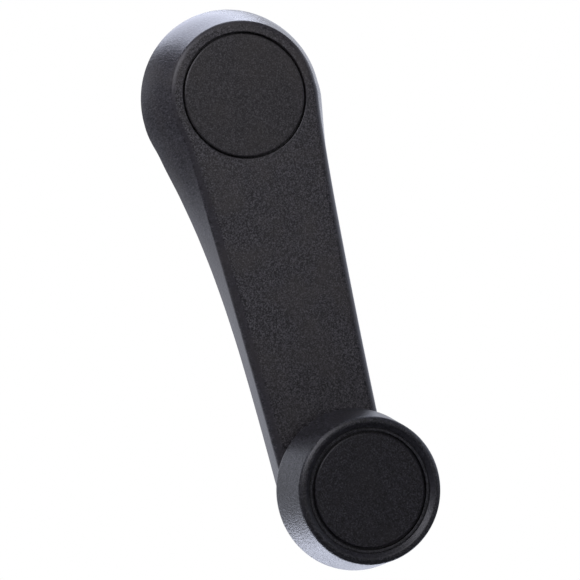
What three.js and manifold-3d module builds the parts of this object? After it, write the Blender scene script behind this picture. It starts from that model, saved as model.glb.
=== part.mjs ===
// Hand crank that winds a window up and down: an arm with a round head at one end and a free-turning
// knob at the other. Millimetres. The spindle axis runs along Y through the origin, with the door
// behind at +Y and the user in front at -Y. The arm hangs down along -Z and X points to the right.
// A place along Y is called "ahead": the distance in front of the plane on which the head's foot lies.
import * as THREE from 'three';
import { mergeVertices } from 'three/addons/utils/BufferGeometryUtils.js';
import Module from 'manifold-3d';

const wasm = await Module();
wasm.setup();

// Arm and head.
const pitch = 95; // spindle axis to knob axis, along the arm
const knobOffset = 2.1; // knob axis to the right of the spindle axis
const headDepth = 13; // foot plane to front face
const headFrontRadius = 17.8;
const headFlare = 4.3; // how much wider the head is at its foot
const armDepth = 8; // height of the arm's side beside the knob
const armFlare = 0.35;
const armStart = 20; // where the arm's own outline begins, from the spindle axis
const armStartHalfWidth = 15.87;
const armEndHalfWidth = 12.76;
const armWaist = 1.52; // how far the sides draw in between the two ends
const armShift = 0.4; // midline of the arm to the right of the spindle axis
const armBlend = 0.62; // softening where the head's circle meets the sides
const blendRun = 2.5;
const edgeRound = 1.4;
const shellWall = 2.4;
const shellRoof = 2.5;
const ribThickness = 1.5;
const ribInset = 0.8; // ribs stop this far inside the open back
const depthShares = [[0, 1], [0.084, 1], [0.21, 0.8], [0.316, 0.6], [0.421, 0.38], [0.526, 0.19],
  [0.632, 0.08], [0.737, 0.02], [0.842, 0], [1.2, 0]];
const flareShares = [[0, 1], [0.053, 0.97], [0.105, 0.87], [0.21, 0.52], [0.316, 0.25], [0.421, 0.1],
  [0.526, 0.03], [0.632, 0], [1.2, 0]];

// Fits.
const touchGap = 0.25; // between pieces that rest on or pass through each other
const runningGap = 0.12; // radial clearance of the knob on its pin
const capRingGap = 0.7; // open ring round the head's cover
const overrun = 1; // how far a cut runs past the material

// Steel core inside the arm.
const plateThickness = 1.6;
const plateHalfWidth = 6;
const plateHubRadius = 10.5;
const platePinRadius = 8;
const plateAhead = 7.2; // rear face of the plate

// Splined hub.
const hubTail = 6; // how far the hub stands out behind the foot plane
const hubBodyRadius = 7.6;
const hubFlangeThickness = 2;
const hubNeckRadius = 7.3;
const hubChamfer = 0.6;
const seatWall = 2;
const seatAhead = 5; // face on which the screw's washers lie
const counterboreRadius = 6.3;
const splineTeeth = 24;
const splineRootRadius = 5.2;
const splineTipRadius = 4.7;

// Hub screw and its washers.
const screwRadius = 2.5;
const screwHeadRadius = 4.9;
const screwHeadHeight = 2.8;
const screwReach = 4; // length of screw standing in the socket
const screwTipChamfer = 0.5;
const washerRadius = 5.9;
const washerThickness = 0.9;
const springWasherRadius = 4.9;
const springWasherThickness = 1.1;
const springSlit = 0.8;
const recessWidth = 1.1;
const recessDepth = 1.5;

// Cover of the head.
const coverRadius = 14.3;
const coverThickness = 2;
const coverChamfer = 0.3;
const legThickness = 1.1;
const legLength = 4.8;
const legInset = 0.2;
const legCount = 3;
const legSpread = Math.PI / 10;
const pocketFloor = 1.4;

// Small screws that hold the core in the arm.
const coreScrewHeadRadius = 2.9;
const coreScrewHeadHeight = 1.5;
const coreScrewRadius = 1.25;
const coreScrewBite = 2.4; // thread length inside the plastic
const coreBossRadius = 3.4;
const coreRecessWidth = 0.8;
const coreRecessDepth = 0.8;
const coreScrewShares = [0.26, 0.43, 0.6, 0.77];
const headRibShares = [-0.019, 0.081, 0.183, 0.317, 0.419, 0.519]; // of a full turn
const crossRibShares = [0.2, 0.33, 0.46, 0.59, 0.72, 0.85];
const endRibShares = [0.583, 0.667, 0.75, 0.833, 0.917]; // of a full turn

// Knob pin and what holds the knob on it.
const bossHeight = 3.2; // raised seat under the knob
const bossRadius = 9;
const pinRadius = 4.5;
const pinNeckRadius = 3;
const pinTipRadius = 3.2;
const pinTipLength = 1.3;
const rivetHeadRadius = 4.6;
const rivetHeadHeight = 0.8;
const pinWasherRadius = 6;
const pinWasherThickness = 0.7;
const thrustRadius = 8.4;
const thrustThickness = 0.6;
const waveThickness = 0.5;
const waveRadius = 6.8;
const pushNutThickness = 0.6;
const pushNutRadius = 7.4;

// Knob.
const knobBaseRadius = 18.86;
const knobTopRadius = 17.25;
const knobHeight = 13.6;
const knobGap = 0.3; // between the knob's base and the raised seat, seen along the axis
const knobEdgeRound = 1.6;
const crestRadius = 15.75;
const slopeFootRadius = 14.1;
const slopeDrop = 1; // crest to the step ring
const discRadius = 12.95;
const discGap = 0.5;
const discThickness = 1.5;
const discProud = 0.1; // disc above the step ring
const discSkirtThickness = 1.2;
const discSkirtLength = 2;
const discChamfer = 0.25;
const knobWall = 2.3;
const knobWeb = 1.8;
const recessFloorDrop = 4.4; // step ring to the web
const tubeWall = 1.4;
const bushWall = 0.9;
const bushLength = 3;
const bushFlangeThickness = 0.6;
const bushFlangeWidth = 0.9;
const knobRibCount = 8;
const knobBaseRound = 0.5;

// How finely curves are divided.
const roundSteps = 48;
const smallSteps = 20;
const pinSteps = 36;
const headArcSteps = 34;
const endArcSteps = 18;
const sideSteps = 24;
const filletSteps = 4;

// Places along the axis that follow from the sizes above.
const frontFace = headDepth;
const roofUnderside = frontFace - shellRoof;
const pocketFloorAhead = frontFace - coverThickness - touchGap;
const floorUnderside = pocketFloorAhead - pocketFloor;
const plateFront = plateAhead + plateThickness;
const flangeFront = plateAhead - touchGap;
const socketEnd = seatAhead - seatWall;
const bossFront = frontFace + bossHeight;
const pinWasherFront = plateAhead - touchGap;
const rivetHeadFront = pinWasherFront - pinWasherThickness - touchGap;
const knobBase = bossFront + knobGap;
const knobCrest = knobBase + knobHeight;
const stepRing = knobCrest - slopeDrop;
const discTop = stepRing + discProud;
const webFront = stepRing - recessFloorDrop;
const thrustFront = bossFront + touchGap + thrustThickness;
const tubeBack = thrustFront + touchGap + bushFlangeThickness;
const bushFlangeFront = webFront + bushFlangeThickness;
const waveBack = bushFlangeFront + touchGap;
const pinShoulder = waveBack + waveThickness;
const pushNutBack = pinShoulder + touchGap;
const pinTip = pinShoulder + pinTipLength;
const bushInnerRadius = pinRadius + runningGap;
const bushOuterRadius = bushInnerRadius + bushWall;
const tubeInnerRadius = bushOuterRadius + touchGap;
const tubeOuterRadius = tubeInnerRadius + tubeWall;
const hubWasherBack = seatAhead + touchGap;
const springWasherBack = hubWasherBack + washerThickness + touchGap;
const screwHeadBack = springWasherBack + springWasherThickness + touchGap;
const coreTilt = -Math.atan2(knobOffset, pitch);
const pocketRadius = coverRadius + capRingGap;
const hubRingInner = plateHubRadius + touchGap;
const legOuterRadius = coverRadius - legInset;
const legInnerRadius = legOuterRadius - legThickness;
const hubRingOuter = legInnerRadius - touchGap * 2;

// Keeps the real triangles of a closed mesh and makes them face out.
function outward(geometry) {
  const places = geometry.getAttribute('position');
  const order = geometry.getIndex();
  const a = new THREE.Vector3();
  const b = new THREE.Vector3();
  const c = new THREE.Vector3();
  const kept = [];
  let volume = 0;
  for (let i = 0; i < order.count; i += 3) {
    const corners = [order.getX(i), order.getX(i + 1), order.getX(i + 2)];
    if (new Set(corners).size < 3) continue;
    kept.push(...corners);
    a.fromBufferAttribute(places, corners[0]);
    b.fromBufferAttribute(places, corners[1]);
    c.fromBufferAttribute(places, corners[2]);
    volume += a.dot(b.cross(c));
  }
  if (volume < 0) {
    for (let i = 0; i < kept.length; i += 3) {
      [kept[i], kept[i + 1]] = [kept[i + 1], kept[i]];
    }
  }
  geometry.setIndex(kept);
  return geometry;
}

function toSolid(geometry) {
  const bare = geometry.clone();
  bare.deleteAttribute('normal');
  bare.deleteAttribute('uv');
  const merged = outward(mergeVertices(bare));
  const mesh = new wasm.Mesh({
    numProp: 3,
    vertProperties: new Float32Array(merged.getAttribute('position').array),
    triVerts: new Uint32Array(merged.getIndex().array),
  });
  return new wasm.Manifold(mesh);
}

function toGeometry(solid) {
  const mesh = solid.getMesh();
  const geometry = new THREE.BufferGeometry();
  geometry.setAttribute('position', new THREE.BufferAttribute(new Float32Array(mesh.vertProperties), 3));
  geometry.setIndex(new THREE.BufferAttribute(new Uint32Array(mesh.triVerts), 1));
  geometry.computeVertexNormals();
  return geometry;
}

// A solid of revolution about the Y axis. The outline is a list of [radius, ahead].
function turned(outline, steps) {
  const points = outline.map(([radius, ahead]) => new THREE.Vector2(radius, -ahead));
  if (outline[0][0] > 0) points.push(points[0].clone());
  return toSolid(new THREE.LatheGeometry(points, steps));
}

function disc(radius, back, front, steps) {
  return turned([[0, back], [radius, back], [radius, front], [0, front]], steps);
}

function ring(inner, outer, back, front, steps) {
  return turned([[inner, back], [outer, back], [outer, front], [inner, front]], steps);
}

// A prism along the axis. The outline is a list of [x, z].
function prism(outline, back, front) {
  const shape = new THREE.Shape(outline.map(([x, z]) => new THREE.Vector2(x, z)));
  const geometry = new THREE.ExtrudeGeometry(shape, { depth: front - back, bevelEnabled: false });
  geometry.translate(0, 0, back);
  geometry.rotateX(Math.PI / 2);
  return toSolid(geometry);
}

function block(left, right, low, high, back, front) {
  return prism([[left, low], [right, low], [right, high], [left, high]], back, front);
}

function place(solid, x, z) {
  return solid.translate([x, 0, z]);
}

function turn(solid, angle) {
  return solid.rotate([0, THREE.MathUtils.radToDeg(angle), 0]);
}

function joined(solids) {
  return solids.reduce((sum, next) => sum.add(next));
}

// A smooth curve through a table of [share, value], without overshoot.
function tableValue(table, share) {
  const last = table.length - 1;
  if (share <= table[0][0]) return table[0][1];
  if (share >= table[last][0]) return table[last][1];
  const slopeOf = (i) => (table[i + 1][1] - table[i][1]) / (table[i + 1][0] - table[i][0]);
  const tangentOf = (i) => {
    if (i === 0 || i === last) return 0;
    const before = slopeOf(i - 1);
    const after = slopeOf(i);
    if (before * after <= 0) return 0;
    return (2 * before * after) / (before + after);
  };
  const i = table.findIndex(([at]) => at > share) - 1;
  const run = table[i + 1][0] - table[i][0];
  const t = (share - table[i][0]) / run;
  const ease = t * t * (3 - 2 * t);
  const rise = t * (1 - t) * (1 - t) * run * tangentOf(i);
  const fall = t * t * (t - 1) * run * tangentOf(i + 1);
  return table[i][1] * (1 - ease) + table[i + 1][1] * ease + rise + fall;
}

// The arm's outline. "Down" is the distance from the spindle axis towards the knob.
function armHalfWidth(down) {
  const share = (down - armStart) / (pitch - armStart);
  const straight = armStartHalfWidth + (armEndHalfWidth - armStartHalfWidth) * share;
  return straight - armWaist * share * (1 - share);
}

function sideReach(down, shift) {
  const circle = Math.sqrt(Math.max(headFrontRadius ** 2 - down ** 2, 0));
  const side = armHalfWidth(down) + shift;
  const soft = armBlend * Math.min(1, down / blendRun);
  return (circle + side + Math.hypot(circle - side, soft)) / 2;
}

function armDepthAt(down) {
  return armDepth + (headDepth - armDepth) * tableValue(depthShares, Math.max(down, 0) / pitch);
}

function armFlareAt(down) {
  return armFlare + (headFlare - armFlare) * tableValue(flareShares, Math.max(down, 0) / pitch);
}

function armOutline() {
  const points = [];
  for (let i = 0; i < sideSteps; i += 1) {
    const down = pitch * (1 - i / sideSteps);
    points.push([sideReach(down, armShift), -down]);
  }
  for (let i = 0; i <= headArcSteps; i += 1) {
    const angle = (Math.PI * i) / headArcSteps;
    points.push([headFrontRadius * Math.cos(angle), headFrontRadius * Math.sin(angle)]);
  }
  for (let i = 1; i <= sideSteps; i += 1) {
    const down = (pitch * i) / sideSteps;
    points.push([-sideReach(down, -armShift), -down]);
  }
  for (let i = 1; i < endArcSteps; i += 1) {
    const angle = Math.PI + (Math.PI * i) / endArcSteps;
    points.push([
      armShift + armEndHalfWidth * Math.cos(angle),
      -pitch + armEndHalfWidth * Math.sin(angle),
    ]);
  }
  return points.map(([x, z], i) => {
    const before = points[(i + points.length - 1) % points.length];
    const after = points[(i + 1) % points.length];
    const length = Math.hypot(after[0] - before[0], after[1] - before[1]);
    const nx = (after[1] - before[1]) / length;
    const nz = -(after[0] - before[0]) / length;
    return { x, z, nx, nz, flare: armFlareAt(-z), depth: armDepthAt(-z) };
  });
}

function outlineRing(outline, offsetOf, dropOf) {
  return outline.map((point) => {
    const offset = offsetOf(point);
    return new THREE.Vector3(
      point.x + point.nx * offset,
      -(frontFace - dropOf(point)),
      point.z + point.nz * offset,
    );
  });
}

// A closed skin through rings of equal length, with flat ends.
function lofted(rings) {
  const count = rings[0].length;
  const places = [];
  for (const points of rings) for (const point of points) places.push(point.x, point.y, point.z);
  const order = [];
  for (let level = 0; level < rings.length - 1; level += 1) {
    for (let i = 0; i < count; i += 1) {
      const next = (i + 1) % count;
      const a = level * count + i;
      const b = level * count + next;
      order.push(a, b, b + count, a, b + count, a + count);
    }
  }
  const last = rings.length - 1;
  for (const level of [0, last]) {
    const flat = rings[level].map((point) => new THREE.Vector2(point.x, point.z));
    for (const [a, b, c] of THREE.ShapeUtils.triangulateShape(flat, [])) {
      const corners = level === 0 ? [a, c, b] : [a, b, c];
      order.push(...corners.map((corner) => level * count + corner));
    }
  }
  const geometry = new THREE.BufferGeometry();
  geometry.setAttribute('position', new THREE.BufferAttribute(new Float32Array(places), 3));
  geometry.setIndex(order);
  return toSolid(geometry);
}

function armSkin() {
  const outline = armOutline();
  const leanOf = (point) => Math.PI / 2 - Math.atan2(point.flare, point.depth);
  const rings = [];
  for (let i = 0; i <= filletSteps; i += 1) {
    const share = i / filletSteps;
    rings.push(outlineRing(
      outline,
      (point) => -edgeRound * (1 - Math.sin(leanOf(point) * share)),
      (point) => edgeRound * (1 - Math.cos(leanOf(point) * share)),
    ));
  }
  rings.push(outlineRing(outline, (point) => point.flare, (point) => point.depth));
  rings.push(outlineRing(outline, (point) => point.flare - shellWall, (point) => point.depth));
  const roofOffset = (point) => (point.flare * shellRoof) / point.depth - shellWall;
  rings.push(outlineRing(outline, roofOffset, () => shellRoof));
  return lofted(rings);
}

// A rib across the arm, as wide as the arm is at that place.
function crossRib(down) {
  const back = frontFace - armDepthAt(down) + ribInset;
  const half = armHalfWidth(down) - shellWall / 2;
  const spread = armFlareAt(down);
  const front = roofUnderside + ribThickness / 2;
  const shape = new THREE.Shape([
    new THREE.Vector2(armShift - half, front),
    new THREE.Vector2(armShift - half - spread, back),
    new THREE.Vector2(armShift + half + spread, back),
    new THREE.Vector2(armShift + half, front),
  ]);
  const geometry = new THREE.ExtrudeGeometry(shape, { depth: ribThickness, bevelEnabled: false });
  geometry.rotateX(Math.PI / 2);
  const places = geometry.getAttribute('position');
  for (let i = 0; i < places.count; i += 1) {
    const along = -places.getY(i);
    const ahead = places.getZ(i);
    places.setXYZ(i, places.getX(i), -ahead, -down + along - ribThickness / 2);
  }
  return toSolid(geometry);
}

// A rib along the arm beside the core, straight from one place to the other.
function longRib(middle, from, to) {
  const steps = 12;
  const front = roofUnderside + ribThickness / 2;
  const points = [new THREE.Vector2(-to, front), new THREE.Vector2(-from, front)];
  for (let i = 0; i <= steps; i += 1) {
    const down = from + ((to - from) * i) / steps;
    points.push(new THREE.Vector2(-down, frontFace - armDepthAt(down) + ribInset));
  }
  const geometry = new THREE.ExtrudeGeometry(new THREE.Shape(points), {
    depth: ribThickness,
    bevelEnabled: false,
  });
  const places = geometry.getAttribute('position');
  for (let i = 0; i < places.count; i += 1) {
    const z = places.getX(i);
    const ahead = places.getY(i);
    const x = middle - ribThickness / 2 + places.getZ(i);
    places.setXYZ(i, x, -ahead, z);
  }
  return turn(toSolid(geometry), coreTilt);
}

// A rib that runs out from an axis, standing between two places along it.
function radialRib(angle, inner, outerFront, outerBack, back, front) {
  const shape = new THREE.Shape([
    new THREE.Vector2(inner, back),
    new THREE.Vector2(outerBack, back),
    new THREE.Vector2(outerFront, front),
    new THREE.Vector2(inner, front),
  ]);
  const geometry = new THREE.ExtrudeGeometry(shape, { depth: ribThickness, bevelEnabled: false });
  const places = geometry.getAttribute('position');
  for (let i = 0; i < places.count; i += 1) {
    places.setXYZ(i, places.getX(i), -places.getY(i), places.getZ(i) - ribThickness / 2);
  }
  return turn(toSolid(geometry), -angle);
}

function legAngle(index) {
  return Math.PI / 2 + (2 * Math.PI * index) / legCount;
}

// A prism over a part of a ring.
function arcSector(inner, outer, angle, spread, back, front) {
  const steps = 6;
  const points = [];
  for (let i = 0; i <= steps; i += 1) {
    const at = angle - spread / 2 + (spread * i) / steps;
    points.push([outer * Math.cos(at), outer * Math.sin(at)]);
  }
  for (let i = steps; i >= 0; i -= 1) {
    const at = angle - spread / 2 + (spread * i) / steps;
    points.push([inner * Math.cos(at), inner * Math.sin(at)]);
  }
  return prism(points, back, front);
}

function coreScrewPlace(share) {
  return [knobOffset * share, -pitch * share];
}

function armShell() {
  const channelHalf = plateHalfWidth + touchGap * 2;
  const floorRadius = headFrontRadius - shellWall / 4;
  const ribBack = ribInset;
  const ribFront = floorUnderside + pocketFloor / 2;
  const ribWallFront = headFrontRadius - shellWall / 2;
  const ribWallBack = headFrontRadius + headFlare - shellWall / 2;
  const endWall = armEndHalfWidth - shellWall / 2;
  const endBack = frontFace - armDepth + ribInset;
  const endBossFront = roofUnderside + overrun / 2;
  const bearing = plateFront + touchGap;
  const ribSpan = channelHalf + ribThickness / 2;

  const added = [armSkin(), disc(floorRadius, floorUnderside, pocketFloorAhead + overrun, roundSteps)];
  added.push(ring(hubRingInner, hubRingOuter, ribBack, ribFront, roundSteps));
  for (const share of headRibShares) {
    const angle = 2 * Math.PI * share;
    const inner = (hubRingInner + hubRingOuter) / 2;
    added.push(radialRib(angle, inner, ribWallFront, ribWallBack, ribBack, ribFront));
  }
  const ribStart = hubRingInner;
  const ribEnd = pitch - platePinRadius;
  added.push(longRib(ribSpan, ribStart, ribEnd));
  added.push(longRib(-ribSpan, ribStart, ribEnd));
  for (const share of crossRibShares) added.push(crossRib(pitch * share));
  for (const share of endRibShares) {
    const angle = 2 * Math.PI * share;
    const rib = radialRib(angle, platePinRadius + touchGap, endWall, endWall, endBack, endBossFront);
    added.push(place(rib, armShift, -pitch));
  }
  const solidBoss = disc(platePinRadius, bearing, endBossFront, smallSteps);
  added.push(place(solidBoss, knobOffset, -pitch));
  const raisedSeat = disc(bossRadius, roofUnderside, bossFront, roundSteps);
  added.push(place(raisedSeat, knobOffset, -pitch));

  let shell = joined(added);
  const channel = block(-channelHalf, channelHalf, -pitch, 0, -overrun, bearing);
  shell = shell.subtract(turn(channel, coreTilt));
  const pinRoom = disc(platePinRadius + touchGap, -overrun, bearing, roundSteps);
  shell = shell.subtract(place(pinRoom, knobOffset, -pitch));
  shell = shell.subtract(disc(hubRingInner, -overrun, floorUnderside, roundSteps));
  for (const share of coreScrewShares) {
    const [x, z] = coreScrewPlace(share);
    const boss = disc(coreBossRadius, bearing, roofUnderside + overrun / 2, smallSteps);
    shell = shell.add(place(boss, x, z));
    const holeEnd = bearing + coreScrewBite + touchGap;
    const hole = disc(coreScrewRadius + touchGap, bearing - overrun, holeEnd, smallSteps);
    shell = shell.subtract(place(hole, x, z));
  }
  shell = shell.subtract(disc(pocketRadius, pocketFloorAhead, frontFace + overrun, roundSteps));
  const well = disc(counterboreRadius, floorUnderside - overrun, frontFace, roundSteps);
  shell = shell.subtract(well);
  for (let i = 0; i < legCount; i += 1) {
    const slotSpread = legSpread + (touchGap * 4) / legOuterRadius;
    const slotInner = legInnerRadius - touchGap;
    const slotOuter = legOuterRadius + touchGap;
    const slotBack = pocketFloorAhead - legLength;
    shell = shell.subtract(arcSector(
      slotInner, slotOuter, legAngle(i), slotSpread, slotBack, frontFace,
    ));
  }
  const pinHole = disc(pinNeckRadius + touchGap, bearing - overrun, bossFront + overrun, smallSteps);
  return shell.subtract(place(pinHole, knobOffset, -pitch));
}

function corePlate() {
  const strip = block(-plateHalfWidth, plateHalfWidth, -pitch, 0, plateAhead, plateFront);
  let plate = turn(strip, coreTilt);
  plate = plate.add(disc(plateHubRadius, plateAhead, plateFront, roundSteps));
  plate = plate.add(place(disc(platePinRadius, plateAhead, plateFront, roundSteps), knobOffset, -pitch));
  const back = plateAhead - overrun;
  const front = plateFront + overrun;
  plate = plate.subtract(disc(hubNeckRadius + touchGap, back, front, roundSteps));
  const pinHole = disc(pinNeckRadius + touchGap, back, front, smallSteps);
  plate = plate.subtract(place(pinHole, knobOffset, -pitch));
  for (const share of coreScrewShares) {
    const [x, z] = coreScrewPlace(share);
    plate = plate.subtract(place(disc(coreScrewRadius + touchGap, back, front, smallSteps), x, z));
  }
  return plate;
}

function splineHub() {
  const neckFront = floorUnderside - touchGap;
  const flangeBack = flangeFront - hubFlangeThickness;
  let hub = turned([
    [0, -hubTail], [hubBodyRadius - hubChamfer, -hubTail], [hubBodyRadius, -hubTail + hubChamfer],
    [hubBodyRadius, flangeBack], [plateHubRadius, flangeBack], [plateHubRadius, flangeFront],
    [hubNeckRadius, flangeFront], [hubNeckRadius, neckFront], [0, neckFront],
  ], roundSteps);
  hub = hub.subtract(disc(counterboreRadius, seatAhead, neckFront + overrun, roundSteps));
  hub = hub.subtract(disc(screwRadius + touchGap, socketEnd - overrun, seatAhead + overrun, smallSteps));
  const teeth = [];
  for (let i = 0; i < splineTeeth * 2; i += 1) {
    const radius = i % 2 === 0 ? splineRootRadius : splineTipRadius;
    const angle = (Math.PI * i) / splineTeeth;
    teeth.push([radius * Math.cos(angle), radius * Math.sin(angle)]);
  }
  return hub.subtract(prism(teeth, -hubTail - overrun, socketEnd));
}

function crossRecess(width, reach, back, front) {
  const half = width / 2;
  const upright = block(-half, half, -reach, reach, back, front);
  return upright.add(block(-reach, reach, -half, half, back, front));
}

function hubScrew() {
  const front = screwHeadBack + screwHeadHeight;
  const tip = socketEnd - screwReach;
  const dome = screwHeadHeight / 3;
  const screw = turned([
    [0, tip], [screwRadius - screwTipChamfer, tip], [screwRadius, tip + screwTipChamfer],
    [screwRadius, screwHeadBack], [screwHeadRadius, screwHeadBack], [screwHeadRadius, front - dome * 2],
    [screwHeadRadius - dome / 2, front - dome], [screwHeadRadius - dome * 2, front], [0, front],
  ], smallSteps);
  const reach = screwHeadRadius / 2;
  return screw.subtract(crossRecess(recessWidth, reach, front - recessDepth, front + overrun));
}

function hubWasher() {
  const front = hubWasherBack + washerThickness;
  return ring(screwRadius + touchGap, washerRadius, hubWasherBack, front, pinSteps);
}

function springWasher() {
  const front = springWasherBack + springWasherThickness;
  const whole = ring(screwRadius + touchGap, springWasherRadius, springWasherBack, front, pinSteps);
  const half = springSlit / 2;
  const reach = springWasherRadius + overrun;
  const slit = block(-half, half, 0, reach, springWasherBack - overrun, front + overrun);
  return whole.subtract(slit);
}

function coreScrew(share) {
  const headFront = plateAhead - touchGap;
  const back = headFront - coreScrewHeadHeight;
  const tip = plateFront + touchGap + coreScrewBite;
  const screw = turned([
    [0, back], [coreScrewHeadRadius, back], [coreScrewHeadRadius, headFront],
    [coreScrewRadius, headFront], [coreScrewRadius, tip - coreScrewRadius], [0, tip],
  ], smallSteps);
  const reach = coreScrewHeadRadius / 2;
  const recess = crossRecess(coreRecessWidth, reach, back - overrun, back + coreRecessDepth);
  const [x, z] = coreScrewPlace(share);
  return place(screw.subtract(recess), x, z);
}

function knobPin() {
  const shoulderBack = bossFront + touchGap;
  const back = rivetHeadFront - rivetHeadHeight;
  const chamfer = pinTipLength / 3;
  return turned([
    [0, back], [rivetHeadRadius - rivetHeadHeight / 2, back], [rivetHeadRadius, rivetHeadFront],
    [pinNeckRadius, rivetHeadFront], [pinNeckRadius, shoulderBack], [pinRadius, shoulderBack],
    [pinRadius, pinShoulder], [pinTipRadius, pinShoulder], [pinTipRadius, pinTip - chamfer],
    [pinTipRadius - chamfer, pinTip], [0, pinTip],
  ], pinSteps);
}

function headCover() {
  const back = pocketFloorAhead + touchGap;
  let cover = turned([
    [0, back], [coverRadius, back], [coverRadius, frontFace - coverChamfer],
    [coverRadius - coverChamfer, frontFace], [0, frontFace],
  ], roundSteps);
  const middle = back + coverThickness / 2;
  for (let i = 0; i < legCount; i += 1) {
    const leg = arcSector(legInnerRadius, legOuterRadius, legAngle(i), legSpread, back - legLength, middle);
    cover = cover.add(leg);
  }
  return cover;
}

function knobSleeve() {
  const rimDrop = knobEdgeRound;
  const outline = [
    [knobBaseRadius - knobWall, knobBase], [knobBaseRadius - knobBaseRound, knobBase],
    [knobBaseRadius, knobBase + knobBaseRound],
  ];
  const arcSteps = 5;
  const arcWidth = knobTopRadius - crestRadius;
  for (let i = 0; i <= arcSteps; i += 1) {
    const angle = (Math.PI * i) / (2 * arcSteps);
    outline.push([
      crestRadius + arcWidth * Math.cos(angle),
      knobCrest - rimDrop + rimDrop * Math.sin(angle),
    ]);
  }
  const recessRadius = discRadius + discGap;
  const webBack = webFront - knobWeb;
  outline.push([slopeFootRadius, stepRing]);
  outline.push([recessRadius, stepRing]);
  outline.push([recessRadius, webFront]);
  outline.push([tubeInnerRadius, webFront]);
  outline.push([tubeInnerRadius, tubeBack]);
  outline.push([tubeOuterRadius, tubeBack]);
  outline.push([tubeOuterRadius, webBack]);
  outline.push([knobTopRadius - knobWall, webBack]);
  let sleeve = turned(outline, roundSteps);
  const ribBack = knobBase + ribInset;
  for (let i = 0; i < knobRibCount; i += 1) {
    const angle = (2 * Math.PI * i) / knobRibCount;
    const inner = tubeOuterRadius - tubeWall / 2;
    const outerFront = knobTopRadius - knobWall / 2;
    const outerBack = knobBaseRadius - knobWall / 2;
    const front = webBack + knobWeb / 2;
    sleeve = sleeve.add(radialRib(angle, inner, outerFront, outerBack, ribBack, front));
  }
  const seatRoom = disc(thrustRadius + touchGap * 2, knobBase - overrun, tubeBack, roundSteps);
  return place(sleeve.subtract(seatRoom), knobOffset, -pitch);
}

function knobDisc() {
  const back = discTop - discThickness;
  const skirtBack = back - discSkirtLength;
  const skirtInner = discRadius - discSkirtThickness;
  const cap = turned([
    [0, back], [skirtInner, back], [skirtInner, skirtBack], [discRadius, skirtBack],
    [discRadius, discTop - discChamfer], [discRadius - discChamfer, discTop], [0, discTop],
  ], roundSteps);
  return place(cap, knobOffset, -pitch);
}

function bush(seat, outwards) {
  const flangeRadius = bushOuterRadius + bushFlangeWidth;
  const bodyEnd = seat - outwards * bushLength;
  const flangeEnd = seat + outwards * bushFlangeThickness;
  const body = ring(
    bushInnerRadius, bushOuterRadius, Math.min(bodyEnd, seat), Math.max(bodyEnd, seat), pinSteps,
  );
  const flange = ring(
    bushInnerRadius, flangeRadius, Math.min(flangeEnd, seat), Math.max(flangeEnd, seat), pinSteps,
  );
  return place(body.add(flange), knobOffset, -pitch);
}

function atPin(solid) {
  return place(solid, knobOffset, -pitch);
}

const plastic = { color: 0x343236, roughness: 0.62, metalness: 0 };
const smoothPlastic = { color: 0x232226, roughness: 0.5, metalness: 0 };
const steel = { color: 0x9a9ca0, roughness: 0.35, metalness: 1 };
const zinc = { color: 0x8b8d8f, roughness: 0.5, metalness: 1 };
const nylon = { color: 0xd8d4c8, roughness: 0.6, metalness: 0 };

function piece(name, solid, look) {
  const mesh = new THREE.Mesh(toGeometry(solid), new THREE.MeshStandardMaterial(look));
  mesh.name = name;
  return mesh;
}

const handle = new THREE.Group();
handle.name = 'handle';
handle.add(piece('arm_shell', armShell(), plastic));
handle.add(piece('core_plate', corePlate(), steel));
handle.add(piece('spline_hub', splineHub(), zinc));
handle.add(piece('hub_washer', hubWasher(), steel));
handle.add(piece('hub_spring_washer', springWasher(), steel));
handle.add(piece('hub_screw', hubScrew(), steel));
coreScrewShares.forEach((share, i) => {
  handle.add(piece(`core_screw_${i + 1}`, coreScrew(share), steel));
});
handle.add(piece('knob_pin', atPin(knobPin()), steel));
const pinWasherBack = pinWasherFront - pinWasherThickness;
const pinNeckRoom = pinNeckRadius + touchGap;
const pinWasher = ring(pinNeckRoom, pinWasherRadius, pinWasherBack, pinWasherFront, smallSteps);
handle.add(piece('pin_washer', atPin(pinWasher), steel));
const thrustBack = thrustFront - thrustThickness;
const thrustRing = ring(pinRadius + touchGap, thrustRadius, thrustBack, thrustFront, smallSteps);
handle.add(piece('thrust_washer', atPin(thrustRing), nylon));
const waveRing = ring(pinRadius + touchGap, waveRadius, waveBack, waveBack + waveThickness, smallSteps);
handle.add(piece('wave_washer', atPin(waveRing), steel));
const nutFront = pushNutBack + pushNutThickness;
const pushNut = ring(pinTipRadius + touchGap, pushNutRadius, pushNutBack, nutFront, smallSteps);
handle.add(piece('push_nut', atPin(pushNut), steel));

const cover = new THREE.Group();
cover.name = 'cover';
cover.add(piece('head_cap', headCover(), smoothPlastic));
handle.add(cover);

const knob = new THREE.Group();
knob.name = 'knob';
knob.add(piece('knob_sleeve', knobSleeve(), plastic));
knob.add(piece('knob_disc', knobDisc(), smoothPlastic));
knob.add(piece('knob_bush_rear', bush(tubeBack, -1), nylon));
knob.add(piece('knob_bush_front', bush(webFront, 1), nylon));
handle.add(knob);

export default handle;
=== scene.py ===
# %% [markdown]
# # A window winder handle, piece by piece
#
# The real object is a moulded black handle that turns a splined spindle in a car door. It has a
# round head with a snap-in cover, a tapered arm that is open at the back, and a knob that turns
# freely on a steel pin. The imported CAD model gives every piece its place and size. Here each
# piece that shows is made again with finer curves, and each gets a finish that behaves like the
# real one under a lamp. We start by loading that frame, and keep its box, so that we can check at
# the end that nothing grew.

# %% Load the frame and keep its box
import math
import bmesh
import bpy
from mathutils import Matrix, Vector
from mathutils.geometry import tessellate_polygon


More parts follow.
